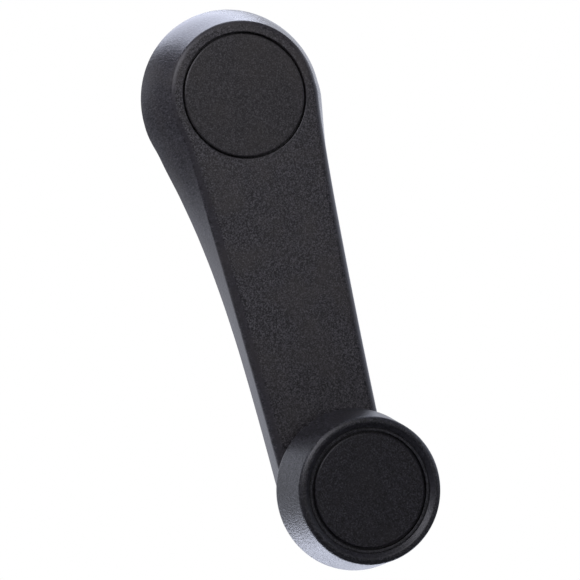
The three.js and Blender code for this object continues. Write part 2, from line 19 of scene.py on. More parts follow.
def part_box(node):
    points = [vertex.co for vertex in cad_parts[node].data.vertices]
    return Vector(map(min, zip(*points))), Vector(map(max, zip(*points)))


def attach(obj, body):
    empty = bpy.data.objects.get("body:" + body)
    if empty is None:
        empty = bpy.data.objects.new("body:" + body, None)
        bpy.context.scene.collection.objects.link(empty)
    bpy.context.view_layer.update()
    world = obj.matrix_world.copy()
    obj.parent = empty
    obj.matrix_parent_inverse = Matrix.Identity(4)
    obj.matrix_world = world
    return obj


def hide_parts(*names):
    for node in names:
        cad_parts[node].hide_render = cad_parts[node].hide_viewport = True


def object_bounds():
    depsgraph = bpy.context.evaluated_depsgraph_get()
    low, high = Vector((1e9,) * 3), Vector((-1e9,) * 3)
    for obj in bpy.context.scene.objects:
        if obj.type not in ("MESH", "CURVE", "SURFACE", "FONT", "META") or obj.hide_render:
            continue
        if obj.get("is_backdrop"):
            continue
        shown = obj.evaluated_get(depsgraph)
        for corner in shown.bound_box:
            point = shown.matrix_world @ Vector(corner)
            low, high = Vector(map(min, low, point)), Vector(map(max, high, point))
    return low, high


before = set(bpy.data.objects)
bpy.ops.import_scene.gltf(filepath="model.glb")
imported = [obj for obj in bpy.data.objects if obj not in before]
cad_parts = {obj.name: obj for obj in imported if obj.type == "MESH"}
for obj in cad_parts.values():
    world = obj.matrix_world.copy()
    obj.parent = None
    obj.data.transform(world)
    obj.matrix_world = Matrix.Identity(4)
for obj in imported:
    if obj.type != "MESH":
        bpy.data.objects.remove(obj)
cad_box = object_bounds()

MM = 0.001
scene = bpy.context.scene

# %% [markdown]
# ## Sizes
#
# These are the sizes of the real handle in millimetres. They agree with the CAD model, apart from
# roundings that a fine skin can show better. "Ahead" means in front of the plane on which the
# head's foot lies, so a place that is 13 mm ahead has Y = -13 mm. The round pieces need no list,
# because the frame tells how far each reaches: `reach` reads a node's outer radius and its two ends
# along the axis. Each table pairs a share of the way along the arm, 0 at the spindle and 1 at the
# knob, with a value there. The last lines say how many flat sides a round piece gets.

# %% Sizes of the handle, in millimetres
PITCH = 95.0
KNOB_OFFSET = 2.1
KNOB_AXIS = (KNOB_OFFSET, -PITCH)
HEAD_DEPTH = 13.0
HEAD_RADIUS = 17.8
HEAD_FLARE = 4.3
ARM_DEPTH = 8.0
ARM_FLARE = 0.1
ARM_START = 20.0
ARM_START_HALF = 16.1
ARM_END_HALF = 13.02
ARM_WAIST = 1.52
ARM_SHIFT = 0.4
ARM_BLEND = 0.62
BLEND_RUN = 2.5
HEAD_EDGE_ROUND = 1.6
ARM_EDGE_ROUND = 2.6
WALL_SWEEP = -0.3
WALL = 2.4
ROOF = 2.5
RIB = 1.5
RIB_INSET = 0.8
POCKET_RADIUS = 14.9
FIT = 0.25
OVERRUN = 1.0
DEPTH_SHARES = ((0, 1), (0.084, 1), (0.21, 0.8), (0.316, 0.6), (0.421, 0.38), (0.526, 0.19),
                (0.632, 0.08), (0.737, 0.02), (0.842, 0), (1.2, 0))
ROUND_SHARES = ((0, 0), (0.05, 0.1), (0.16, 0.55), (0.3, 1), (1.2, 1))
FLARE_SHARES = ((0, 1), (0.053, 0.97), (0.105, 0.87), (0.21, 0.52), (0.316, 0.25), (0.421, 0.1),
                (0.526, 0.03), (0.632, 0), (1.2, 0))
KNOB_STEPS = 192
FACE_STEPS = 160
ROUND_STEPS = 144
HUB_STEPS = 128
SMALL_STEPS = 96


def reach(node, centre=(0.0, 0.0)):
    """Outer radius, rear end and front end of a round CAD node, in millimetres."""
    low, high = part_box(node)
    return high.z / MM - centre[1], -high.y / MM, -low.y / MM


print("hub reaches", [round(c, 2) for c in reach("spline_hub")])

# %% [markdown]
# ## The camera first
#
# The photograph was matched with a long lens from 600 mm away: the camera stands 16 degrees to
# the left of straight ahead and almost level, and it is rolled, so that the arm leans. It is placed
# before the pieces. The turn and the shift were found by fitting the handle's outlines, and the lens
# follows from the scale of 4.295 pixels to a millimetre.

# %% Place the camera at the photograph's angle
CAMERA_DISTANCE = 600.0
PIXELS_PER_MM = 4.2946
PICTURE_WIDTH = 580.0
SENSOR_WIDTH = 36.0
CAMERA_TURN = Vector((-0.0177, 0.2809, 0.238))
CAMERA_SHIFT = Vector((-10.4574, 45.4012, 0.0))


def from_photo_axes(v):
    """The fit had x to the right, y up the arm and z out of the front face."""
    return Vector((v.x, -v.z, v.y))


look = Matrix.Rotation(CAMERA_TURN.length, 3, CAMERA_TURN.normalized())
eye = look.transposed() @ (Vector((0, 0, CAMERA_DISTANCE)) - CAMERA_SHIFT)
camera_data = bpy.data.cameras.new("photo_camera")
camera_data.sensor_width = SENSOR_WIDTH
camera_data.lens = SENSOR_WIDTH * PIXELS_PER_MM * CAMERA_DISTANCE / PICTURE_WIDTH
camera = bpy.data.objects.new("photo_camera", camera_data)
scene.collection.objects.link(camera)
pose = Matrix([from_photo_axes(look[i]) for i in range(3)]).transposed().to_4x4()
pose.translation = (from_photo_axes(eye) + Vector((0, -HEAD_DEPTH, 0))) * MM
camera.matrix_world = pose
scene.camera = camera
print("lens", round(camera_data.lens, 1), "mm, camera at", [round(c, 3) for c in pose.translation])

# %% [markdown]
# ## Writing shaders as arithmetic
#
# A procedural finish is a small calculation that runs for every point of a surface. Blender draws
# it as boxes and wires, which is hard to read in a script. This little class wraps one wire and
# lets us write `1 - mask * 0.3` instead: each operator adds the Math node that does it. `clip`
# keeps a value between 0 and 1, and `rise` makes a soft-edged mask from any value.

# %% A wire that understands arithmetic
def join(tree, slot, value):
    """Puts a number, a colour or another wire into a socket."""
    if isinstance(value, Wire):
        tree.links.new(value.socket, slot)
    else:
        slot.default_value = value


class Wire:
    def __init__(self, tree, socket):
        self.tree = tree
        self.socket = socket

    def math(self, operation, first, second):
        box = self.tree.nodes.new("ShaderNodeMath")
        box.operation = operation
        join(self.tree, box.inputs[0], first)
        join(self.tree, box.inputs[1], second)
        return Wire(self.tree, box.outputs[0])

    def __add__(self, other):
        return self.math("ADD", self, other)

    def __radd__(self, other):
        return self.math("ADD", other, self)

    def __sub__(self, other):
        return self.math("SUBTRACT", self, other)

    def __rsub__(self, other):
        return self.math("SUBTRACT", other, self)

    def __mul__(self, other):
        return self.math("MULTIPLY", self, other)

    def __rmul__(self, other):
        return self.math("MULTIPLY", other, self)

    def __pow__(self, other):
        return self.math("POWER", self, other)

    def clip(self):
        return self.math("MINIMUM", self.math("MAXIMUM", self, 0.0), 1.0)

    def rise(self, start, slope):
        """0 up to the start, then straight up to 1. A negative slope leads down to 0 there instead."""
        return ((self - start) * slope).clip()


print("operators ready")

# %% [markdown]
# ## Any other node, and a finish
#
# What isn't arithmetic, such as a noise or a colour mix, comes from one method. It takes the
# node's type, its settings, which go in first, and then the values or wires of its sockets by name
# or by number. `Finish` makes a material with one Principled shader on top of that. What stays the
# same all over a surface is written straight on the shader's own sockets.

# %% Make nodes and materials
def node(tree, kind, settings=None, inputs=None, out=0):
    made = tree.nodes.new("ShaderNode" + kind)
    for key, value in (settings or {}).items():
        setattr(made, key, value)
    for key, value in (inputs or {}).items():
        join(tree, made.inputs[key], value)
    return Wire(tree, made.outputs[out])


class Finish:
    def __init__(self, name, **fixed):
        self.material = bpy.data.materials.new(name)
        self.material.use_nodes = True
        self.tree = self.material.node_tree
        self.tree.nodes.clear()
        self.shader = self.tree.nodes.new("ShaderNodeBsdfPrincipled")
        self.output = self.tree.nodes.new("ShaderNodeOutputMaterial")
        self.tree.links.new(self.shader.outputs[0], self.output.inputs[0])
        self.place = self.node("TexCoord", out=3)
        self.set(**fixed)

    def set(self, **values):
        for key, value in values.items():
            join(self.tree, self.shader.inputs[key.replace("_", " ")], value)
        return self.material

    def node(self, kind, settings=None, inputs=None, out=0):
        return node(self.tree, kind, settings, inputs, out)

    def noise(self, per_metre, detail=2.0, rough=0.5, place=None):
        return self.node("TexNoise", None, {"Vector": place or self.place, "Scale": per_metre,
                                            "Detail": detail, "Roughness": rough})

    def blend(self, amount, first, second):
        return self.node("Mix", {"data_type": "RGBA"}, {0: amount, 6: first, 7: second}, out=2)

    def bump(self, height, depth):
        return self.node("Bump", None, {"Height": height, "Distance": depth})


def grey(level, tint=(1.0, 1.0, 1.0)):
    """A colour in linear light from a picture's 0 to 255 level."""
    linear = ((level / 255 + 0.055) / 1.055) ** 2.4
    return tuple(linear * t for t in tint) + (1.0,)


print("52 in a picture is", round(grey(52)[0], 4), "in linear light")

# %% [markdown]
# ## Grained black plastic
#
# The arm, the cover and the knob come from moulds whose surface was roughened by sparks. Its print
# is a fine, even grain about a third of a millimetre across, which turns the gloss of the plastic
# into a dull sheen with tiny glints. Two noises of different size are the relief, and a third, wide
# one makes the tint and the sheen a little uneven. Small light specks are also painted into the
# base colour as painted glints. A plane that lies along the lattice of a noise shows little of it,
# so the noise is turned askew to every face of the handle.
#
# Side walls slide out of the mould, so their grain is drawn out along the axis and its colour fades
# by the share `fade`. Edges are rubbed by hands, so the share `wear` of their grain is gone. `bold`
# is the coarse share of the relief, `depth` its height in metres, and `contrast` says how strongly
# the grain shows in the base colour: as the grain's own uneven tone, with painted shade in the
# hollows of the relief and painted light on its crests. A dull surface shines more when light
# grazes it, and `polish` is how much.

# %% The masks that all plastics share
FINE_GRAIN = 3000.0
COARSE_GRAIN = 1500.0
MOULD_CLOUDS = 90.0
GRAIN_TURN = (0.5, 0.3, 0.7)
DRAWN_OUT = (1.0, 0.3, 1.0)


def facing_front(finish):
    """1 where a surface faces the user, and 0 on the side walls and behind."""
    normal = finish.node("TexCoord", out=1)
    return (finish.node("SeparateXYZ", None, {0: normal}, out=1) * -1).clip()


def rubbed_edges(front):
    return front.rise(0.45, 4.0) * front.rise(0.98, -12.0)


print("grain", round(1000 / FINE_GRAIN, 2), "mm across")

# %% The plastics
# Painted shade in the hollows of the grain and painted light on its crests, on top of the grain's own
# uneven tone.
HOLLOW_SHADE = 20
CREST_SHADE = 18
COLOUR_STEEPNESS = 5.0
WARM_LIFT = 9
WARM_TINT = (1.08, 1.03, 0.9)
# How much lighter the painted glints are and how strongly they show: light specks painted into the base
# colour.
PAINTED_GLINT_LIFT = 60
PAINTED_GLINT_SHARE = 0.35
CLOUD_GLOSS = 0.12
GRAIN_GLOSS = 0.15


def grained_plastic(name, level, tint, rough, depth, contrast, polish=0.5, ior=1.46,
                    fade=0.85, bold=0.15, wear=0.75):
    finish = Finish(name, Metallic=0.0, IOR=ior)
    askew = finish.node("Mapping", None, {"Vector": finish.place, "Rotation": GRAIN_TURN,
                                          "Scale": DRAWN_OUT})
    fine = finish.noise(FINE_GRAIN, 2.0, 0.6, askew)
    coarse = finish.noise(COARSE_GRAIN, 2.0, 0.5, askew)
    clouds = finish.noise(MOULD_CLOUDS, 3.0, 0.55)
    front = facing_front(finish)
    kept = 1 - rubbed_edges(front) * wear
    seen = (1 - (1 - front) * fade).clip() * kept

    # The base colour follows the relief: painted shade where it is low, painted light where it is high.
    grain = fine * 0.65 + coarse * 0.35
    shade = ((grain - 0.5) * COLOUR_STEEPNESS * seen + 0.5).clip()
    colour = finish.blend(shade, grey(level - HOLLOW_SHADE * contrast, tint),
                          grey(level + CREST_SHADE * contrast, tint))
    warm = grey(level + WARM_LIFT, [a * b for a, b in zip(tint, WARM_TINT)])
    colour = finish.blend(clouds.rise(0.45, 2.2) * contrast, colour, warm)
    # Painted glints: where the fine grain is highest, lighter specks are painted into the base colour.
    painted_glint = fine.rise(0.57, 9.0) * seen * PAINTED_GLINT_SHARE * contrast
    colour = finish.blend(painted_glint, colour, grey(level + PAINTED_GLINT_LIFT))

    relief = (fine * (1 - bold) + coarse * bold) * kept
    gloss = (clouds - 0.5) * CLOUD_GLOSS + (fine - 0.5) * GRAIN_GLOSS * seen + rough
    grazing = finish.node("LayerWeight", None, {"Blend": 0.5}, out=1) ** 4
    return finish.set(Base_Color=colour, Normal=finish.bump(relief, depth),
                      Roughness=gloss * (1 - grazing * polish))


ARM_PLASTIC = grained_plastic("grained_arm_plastic", 58, (1.0, 0.94, 1.06), 0.34, 0.00007, 1.4)
COVER_PLASTIC = grained_plastic("grained_cover_plastic", 51, (1.02, 0.94, 1.03), 0.32, 0.00007, 1.0)
KNOB_PLASTIC = grained_plastic("grained_knob_plastic", 31, (0.97, 0.94, 1.22), 0.42, 0.00018, 1.5,
                               polish=0.12, ior=1.62, fade=0.3, bold=0.3, wear=0.5)
DISC_PLASTIC = grained_plastic("dark_disc_plastic", 26, (1.0, 0.92, 1.22), 0.38, 0.0001, 1.3, ior=1.52)
print("plastics", ARM_PLASTIC.name, COVER_PLASTIC.name, KNOB_PLASTIC.name, DISC_PLASTIC.name)

# %% [markdown]
# ## Metal and nylon inside
#
# The hub is die-cast zinc, dull and slightly cloudy. The core is pressed sheet with the faint long
# lines of rolling. Screws, washers and the pin are bright plated steel with fine marks from
# turning. Stretching a noise along one axis is enough to make such lines. The bushes and the
# thrust washer are natural nylon, milky and a little uneven.

# %% The metals and the nylon
METAL_CLOUDS = 180.0
CLOUD_DARK = 22
CLOUD_LIGHT = 14
MARK_DARK = 38
MARK_SHARE = 0.35
MARK_GLOSS = 0.3
NYLON_CLOUDS = 260.0
SCRATCH_DEPTH = 0.00002


def metal(name, level, rough, marks_scale, stretch):
    finish = Finish(name, Metallic=1.0)
    drawn = finish.node("Mapping", None, {"Vector": finish.place, "Scale": stretch})
    marks = finish.noise(marks_scale, 4.0, 0.6, drawn)
    clouds = finish.noise(METAL_CLOUDS, 4.0, 0.6)
    colour = finish.blend(clouds, grey(level - CLOUD_DARK), grey(level + CLOUD_LIGHT))
    colour = finish.blend(marks * MARK_SHARE, colour, grey(level - MARK_DARK))
    return finish.set(Base_Color=colour, Roughness=(marks - 0.5) * MARK_GLOSS + rough,
                      Normal=finish.bump(marks, SCRATCH_DEPTH))


def milky_nylon(name):
    finish = Finish(name, Metallic=0.0, IOR=1.53)
    clouds = finish.noise(NYLON_CLOUDS, 4.0, 0.55)
    colour = finish.blend(clouds, grey(214, (1.0, 0.97, 0.88)), grey(232, (1.0, 0.98, 0.92)))
    return finish.set(Base_Color=colour, Roughness=clouds * 0.15 + 0.4,
                      Normal=finish.bump(clouds, SCRATCH_DEPTH))


ZINC = metal("dull_cast_zinc", 168, 0.42, 900.0, (1, 1, 1))
SHEET = metal("pressed_sheet", 176, 0.34, 1400.0, (1, 1, 0.03))
BRIGHT = metal("plated_fixings", 200, 0.26, 2200.0, (1, 0.1, 1))
NYLON = milky_nylon("natural_nylon")
print("metals", ZINC.name, SHEET.name, BRIGHT.name, "and", NYLON.name)

# %% [markdown]
# ## Turning, pushing and ribbing
#
# Most pieces of the handle are round, so most of the modelling is one idea: spin an outline about
# an axis. `add_turned` does that ring by ring, which gives full control of how edges are rounded.
# `add_post` is its simplest case. `add_prism` pushes a flat outline along the axis, for legs and
# cutters, and `add_rib` stands a thin wall on a line. Each adds to a bmesh, Blender's open mesh,
# and `solid` makes an object of it.

# %% Makers of simple solids
def solid(name, maker, *arguments):
    bm = bmesh.new()
    maker(bm, *arguments)
    bmesh.ops.recalc_face_normals(bm, faces=bm.faces[:])
    mesh = bpy.data.meshes.new(name)
    bm.to_mesh(mesh)
    bm.free()
    thing = bpy.data.objects.new(name, mesh)
    scene.collection.objects.link(thing)
    return thing


def place(x, ahead, z):
    return Vector((x, -ahead, z)) * MM


def circle(bm, radius, ahead, steps, centre=(0.0, 0.0)):
    angles = [2 * math.pi * i / steps for i in range(steps)]
    return [bm.verts.new(place(centre[0] + radius * math.cos(a), ahead,
                               centre[1] + radius * math.sin(a))) for a in angles]


def bridge(bm, first, second):
    for i in range(len(first)):
        j = (i + 1) % len(first)
        bm.faces.new((first[i], first[j], second[j], second[i]))


def add_turned(bm, outline, steps, centre=(0.0, 0.0)):
    """Spins an outline of (radius, ahead) places. It is closed, or starts and ends on the axis."""
    starts_on_axis = outline[0][0] == 0
    rings = [circle(bm, r, ahead, steps, centre) for r, ahead in outline if r > 0]
    for first, second in zip(rings, rings[1:]):
        bridge(bm, first, second)
    if not starts_on_axis:
        bridge(bm, rings[-1], rings[0])
        return
    for ring, ahead in ((rings[0], outline[0][1]), (rings[-1], outline[-1][1])):
        middle = bm.verts.new(place(centre[0], ahead, centre[1]))
        for i in range(steps):
            bm.faces.new((ring[i], ring[(i + 1) % steps], middle))


def add_post(bm, radius, behind, before, steps, centre):
    add_turned(bm, [(0, behind), (radius, behind), (radius, before), (0, before)], steps, centre)


def add_prism(bm, outline, behind, before):
    """Pushes an outline of (x, z) places along the axis."""
    low = [bm.verts.new(place(x, behind, z)) for x, z in outline]
    high = [bm.verts.new(place(x, before, z)) for x, z in outline]
    bm.faces.new(low)
    bm.faces.new(high)
    bridge(bm, low, high)


def add_rib(bm, stations):
    """A thin wall over a straight line. A station is (x, z, rear edge, front edge)."""
    run = Vector((stations[-1][0] - stations[0][0], stations[-1][1] - stations[0][1]))
    side = Vector((-run.y, run.x)).normalized() * RIB / 2
    rings = []
    for x, z, behind, before in stations:
        corners = ((1, behind), (1, before), (-1, before), (-1, behind))
        rings.append([bm.verts.new(place(x + side.x * s, ahead, z + side.y * s))
                      for s, ahead in corners])
    for first, second in zip(rings, rings[1:]):
        bridge(bm, first, second)
    bm.faces.new(rings[0])
    bm.faces.new(rings[-1])


print("makers ready")

# %% [markdown]
# ## Cutting and joining
#
# Holes and slots are cut with the Boolean modifier, and pieces that are one moulding are joined
# with it too, so that the result is one clean skin without walls buried in walls. Where a piece or
# its cutter has walls that cross each other, the modifier has to be told, or it skips some of
# them. It is applied at once and no trace of it stays on the piece.

# %% Boolean work, applied at once
def combine(thing, other, operation, tangled):
    """Tangled says that one of the two has walls that cross each other."""
    modifier = thing.modifiers.new("combine", "BOOLEAN")
    modifier.operation = operation
    modifier.solver = "EXACT"
    modifier.use_self = tangled
    modifier.object = other
    bpy.context.view_layer.update()
    seen = thing.evaluated_get(bpy.context.evaluated_depsgraph_get())
    shape = bpy.data.meshes.new_from_object(seen)
    thing.modifiers.clear()
    thing.data = shape
    bpy.data.objects.remove(other)
    return thing


def cut(thing, cutter, tangled=False):
    return combine(thing, cutter, "DIFFERENCE", tangled)


def weld(thing, other, tangled=False):
    return combine(thing, other, "UNION", tangled)


CORNER_STEPS = 5
RING_PART_STEPS = 10


def rounded(radius, ahead, size, start, end):
    """Places on an outline's rounded corner, whose arc is centred on (radius, ahead)."""
    turns = [start + (end - start) * i / CORNER_STEPS for i in range(CORNER_STEPS + 1)]
    angles = [math.radians(turn) for turn in turns]
    return [(radius + size * math.cos(a), ahead + size * math.sin(a)) for a in angles]


def ring_part(inner, outer, middle, half):
    """The outline of a part of a ring, with angles in radians."""
    sweep = [middle - half + 2 * half * i / RING_PART_STEPS for i in range(RING_PART_STEPS + 1)]
    far = [(outer * math.cos(a), outer * math.sin(a)) for a in sweep]
    near = [(inner * math.cos(a), inner * math.sin(a)) for a in reversed(sweep)]
    return far + near


print("boolean tools ready")

# %% [markdown]
# ## Dressing a piece
#
# A finished piece gets smooth shading with sharp creases kept, and weighted normals, which let
# the large flat faces decide how the light turns at their rims. Without them a flat face next to
# a small rounding looks dented. Then it rides on the body of the frame that carries it, names the
# finish it takes, and stands in for its CAD node.

# %% Finish, ride and replace
CREASE = math.radians(32)


def dress(thing, material, body, nodes):
    thing.data.materials.clear()
    thing.data.materials.append(material)
    thing.data.polygons.foreach_set("use_smooth", [True] * len(thing.data.polygons))
    thing.data.polygons.foreach_set("material_index", [0] * len(thing.data.polygons))
    thing.data.set_sharp_from_angle(angle=CREASE)
    modifier = thing.modifiers.new("normals", "WEIGHTED_NORMAL")
    modifier.keep_sharp = True
    bpy.context.view_layer.update()
    seen = thing.evaluated_get(bpy.context.evaluated_depsgraph_get())
    shape = bpy.data.meshes.new_from_object(seen)
    thing.modifiers.clear()
    thing.data = shape
    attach(thing, body)
    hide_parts(*nodes)
    size = [round(c / MM, 1) for c in thing.dimensions]
    print(thing.name, size, "mm,", len(shape.polygons), "faces")


print("dressing ready")

# %% [markdown]
# ## The arm's outline
#
# Seen from the front, the handle is a circle for the head, two sides that draw in gently and a
# round end under the knob. The sides are one formula with a waist, and where they leave the
# circle the larger of the two is taken with a soft corner. The foot of the head flares out and
# the wall gets shallower towards the knob: two small tables give those along the arm, with a
# curve through them that never overshoots.

# %% Curves along the arm
def along(table, share):
    last = len(table) - 1
    if share <= table[0][0] or share >= table[last][0]:
        return table[0][1] if share <= table[0][0] else table[last][1]
    i = max(k for k in range(last) if table[k][0] <= share)

    def slope(k):
        return (table[k + 1][1] - table[k][1]) / (table[k + 1][0] - table[k][0])

    def tangent(k):
        if k in (0, last) or slope(k - 1) * slope(k) <= 0:
            return 0.0
        return 2 * slope(k - 1) * slope(k) / (slope(k - 1) + slope(k))

    run = table[i + 1][0] - table[i][0]
    t = (share - table[i][0]) / run
    ease = t * t * (3 - 2 * t)
    bend = t * (1 - t) ** 2 * tangent(i) + t * t * (t - 1) * tangent(i + 1)
    return table[i][1] * (1 - ease) + table[i + 1][1] * ease + run * bend


def half_width(down):
    share = (down - ARM_START) / (PITCH - ARM_START)
    return ARM_START_HALF + (ARM_END_HALF - ARM_START_HALF) * share - ARM_WAIST * share * (1 - share)


def side_reach(down, shift):
    head = math.sqrt(max(HEAD_RADIUS ** 2 - down ** 2, 0.0))
    side = half_width(down) + shift
    soft = ARM_BLEND * min(1.0, down / BLEND_RUN)
    return (head + side + math.hypot(head - side, soft)) / 2


def wall_depth(down):
    return ARM_DEPTH + (HEAD_DEPTH - ARM_DEPTH) * along(DEPTH_SHARES, max(down, 0) / PITCH)


def wall_flare(down):
    return ARM_FLARE + (HEAD_FLARE - ARM_FLARE) * along(FLARE_SHARES, max(down, 0) / PITCH)


def edge_round(down):
    grown = along(ROUND_SHARES, max(down, 0) / PITCH)
    return HEAD_EDGE_ROUND + (ARM_EDGE_ROUND - HEAD_EDGE_ROUND) * grown


print("depth beside the knob", round(wall_depth(80), 2), "mm, flare", round(wall_flare(80), 2))

# %% Points of the outline, each with its outward direction
SIDE_PLACES = 96
HEAD_PLACES = 112
END_PLACES = 56


def arm_outline():
    spots = []
    for i in range(SIDE_PLACES):
        down = PITCH * (1 - i / SIDE_PLACES)
        spots.append((side_reach(down, ARM_SHIFT), -down))
    for i in range(HEAD_PLACES + 1):
        angle = math.pi * i / HEAD_PLACES
        spots.append((HEAD_RADIUS * math.cos(angle), HEAD_RADIUS * math.sin(angle)))
    for i in range(1, SIDE_PLACES + 1):
        down = PITCH * i / SIDE_PLACES
        spots.append((-side_reach(down, -ARM_SHIFT), -down))
    for i in range(1, END_PLACES):
        angle = math.pi + math.pi * i / END_PLACES
        spots.append((ARM_SHIFT + ARM_END_HALF * math.cos(angle),
                      -PITCH + ARM_END_HALF * math.sin(angle)))
    outline = []
    for i, (x, z) in enumerate(spots):
        before = Vector(spots[i - 1])
        after = Vector(spots[(i + 1) % len(spots)])
        way = (after - before).normalized()
        outline.append((x, z, way.y, -way.x, wall_flare(-z), wall_depth(-z), edge_round(-z)))
    return outline


OUTLINE = arm_outline()
print("outline", len(OUTLINE), "places")

# %% [markdown]
# ## The arm's skin
#
# The skin is a stack of rings that all follow the outline: the rounded front edge, the sloping
# wall, the rim at the back, and the same way up again inside. The rounding grows from the head to
# the arm, and the wall swells a little between its edges. The front face is filled between the
# first ring and the pocket for the cover. As that face is truly flat, any triangles will do.

# %% Loft the skin of the arm
FILLET_STEPS = 12
WALL_STEPS = 8
LIP = 0.16
LIP_LAND = 1.8 * LIP
RIM_BREAK = 0.25
POCKET_FLOOR = 10.75
FLOOR_UNDERSIDE = 9.35


def skin_ring(bm, offset, drop):
    ring = []
    for x, z, nx, nz, *sizes in OUTLINE:
        out = offset(*sizes)
        ring.append(bm.verts.new(place(x + nx * out, HEAD_DEPTH - drop(*sizes), z + nz * out)))
    return ring


def fill_between(bm, outer, inner):
    loops = [[v.co.xz.to_3d() for v in loop] for loop in (outer, inner)]
    verts = outer + inner
    for triangle in tessellate_polygon(loops):
        bm.faces.new([verts[i] for i in triangle])


def arm_skin(bm):
    def lean(flare, depth, share):
        return (math.pi / 2 - math.atan2(flare * (1 - WALL_SWEEP), depth)) * share

    def swept(flare, depth, share):
        return flare * (share * (1 - WALL_SWEEP) + share * share * WALL_SWEEP)

    rings = [skin_ring(bm, lambda f, d, r: -r - RIM_BREAK, lambda f, d, r: 0)]
    for share in (k / FILLET_STEPS for k in range(FILLET_STEPS + 1)):
        rings.append(skin_ring(bm, lambda f, d, r: -r * (1 - math.sin(lean(f, d, share))),
                               lambda f, d, r: r * (1 - math.cos(lean(f, d, share)))))
    for share in (k / WALL_STEPS for k in range(2, WALL_STEPS)):
        rings.append(skin_ring(bm, lambda f, d, r: swept(f, d, share),
                               lambda f, d, r: r + (d - r) * share))
    rings.append(skin_ring(bm, lambda f, d, r: f - f * RIM_BREAK / d, lambda f, d, r: d - RIM_BREAK))
    rings.append(skin_ring(bm, lambda f, d, r: f - RIM_BREAK, lambda f, d, r: d))
    rings.append(skin_ring(bm, lambda f, d, r: f - WALL, lambda f, d, r: d))
    rings.append(skin_ring(bm, lambda f, d, r: f * ROOF / d - WALL, lambda f, d, r: ROOF))
    for first, second in zip(rings, rings[1:]):
        bridge(bm, first, second)
    pocket = [circle(bm, POCKET_RADIUS + LIP_LAND, HEAD_DEPTH, ROUND_STEPS)]
    for radius, ahead in reversed(rounded(POCKET_RADIUS + LIP, HEAD_DEPTH - LIP, LIP, 90, 180)):
        pocket.insert(1, circle(bm, radius, ahead, ROUND_STEPS))
    pocket.append(circle(bm, POCKET_RADIUS, HEAD_DEPTH - ROOF, ROUND_STEPS))
    for first, second in zip(pocket, pocket[1:]):
        bridge(bm, first, second)
    fill_between(bm, rings[0], pocket[0])
    fill_between(bm, rings[-1], pocket[-1])


arm = solid("arm_moulding", arm_skin)
print("skin", len(arm.data.polygons), "faces")

# %% [markdown]
# ## Ribs and seats inside the arm
#
# A moulding this deep would sink and warp if it were solid, so the real one is a shell with ribs.
# They run beside the steel core, across to the walls and out from the ring round the hub. Each is
# a thin wall on a line, and all of them are welded to the skin. This side of the handle faces the
# door, but a winder is often seen off the car, so it is worth making.

# %% Ribs
LONG_STEPS = 24
CHANNEL = 6.5
HUB_RING_INNER = 10.75
HUB_RING_OUTER = 12.5
PIN_BOSS = 8.0
SCREW_BOSS = 3.4
HEAD_RIB_SHARES = (-0.019, 0.081, 0.183, 0.317, 0.419, 0.519)
CROSS_RIB_SHARES = (0.2, 0.33, 0.46, 0.59, 0.72, 0.85)
END_RIB_SHARES = (0.583, 0.667, 0.75, 0.833, 0.917)
SCREW_SPOTS = [(KNOB_OFFSET * share, -PITCH * share) for share in (0.26, 0.43, 0.6, 0.77)]
bearing = reach("core_plate")[2] + FIT
in_roof = HEAD_DEPTH - ROOF / 2
in_floor = (POCKET_FLOOR + FLOOR_UNDERSIDE) / 2
drift = KNOB_OFFSET / PITCH


def rib_rear(down):
    return HEAD_DEPTH - wall_depth(down) + RIB_INSET


def ring_rib(bm, share, centre, inner, outer, behind, before, foot=0.0):
    """A rib that runs out from an axis. A foot lets its rear reach further, under a flared wall."""
    angle = 2 * math.pi * share
    ends = [(inner, before), (outer, before)]
    if foot:
        ends.append((outer + foot, behind + RIB))
    add_rib(bm, [(centre[0] + radius * math.cos(angle), centre[1] + radius * math.sin(angle),
                  behind, front) for radius, front in ends])


def arm_ribs(bm):
    beside = CHANNEL + RIB / 2
    under_pocket = HEAD_RADIUS - WALL / 2
    for side in (-1, 1):
        stations = []
        for i in range(LONG_STEPS + 1):
            down = HUB_RING_INNER + (PITCH - PIN_BOSS - HUB_RING_INNER) * i / LONG_STEPS
            front = in_floor if down < under_pocket else in_roof
            stations.append((side * beside + down * drift, -down, rib_rear(down), front))
        add_rib(bm, stations)
    for down in (PITCH * share for share in CROSS_RIB_SHARES):
        rear = rib_rear(down)
        for side in (-1, 1):
            front_wall = ARM_SHIFT + side * (half_width(down) - WALL / 2)
            rear_wall = front_wall + side * (wall_flare(down) + FIT)
            add_rib(bm, [(side * beside + down * drift, -down, rear, in_roof),
                         (front_wall, -down, rear, in_roof), (rear_wall, -down, rear, rear + RIB)])
        add_rib(bm, [(side * beside + down * drift, -down, bearing, in_roof) for side in (-1, 1)])
    for share in HEAD_RIB_SHARES:
        ring_rib(bm, share, (0, 0), (HUB_RING_INNER + HUB_RING_OUTER) / 2, HEAD_RADIUS - WALL / 4,
                 RIB_INSET, in_floor, HEAD_FLARE - WALL / 2)
    for share in END_RIB_SHARES:
        ring_rib(bm, share, (ARM_SHIFT, -PITCH), PIN_BOSS + FIT, ARM_END_HALF - WALL / 2,
                 rib_rear(PITCH), in_roof)


inside = solid("inside", arm_ribs)
print("ribs", len(inside.data.polygons), "faces")

# %% Floor of the pocket, ring round the hub, bosses, and the raised seat of the knob
LEG_ANGLES = [math.pi / 2 + 2 * math.pi * k / 3 for k in range(3)]
LEG_HALF = math.pi / 20
LEG_PLAY = FIT / 7
LEG_OUTER = 14.1
LEG_INNER = 13.0
WELL_RADIUS = 6.3
SEAT_RADIUS = 9.0
SEAT_FRONT = 16.2
SEAT_ROUND = 0.3
PIN_HOLE = 3.25
SCREW_HOLE = 1.5
SCREW_DEPTH = 2.65


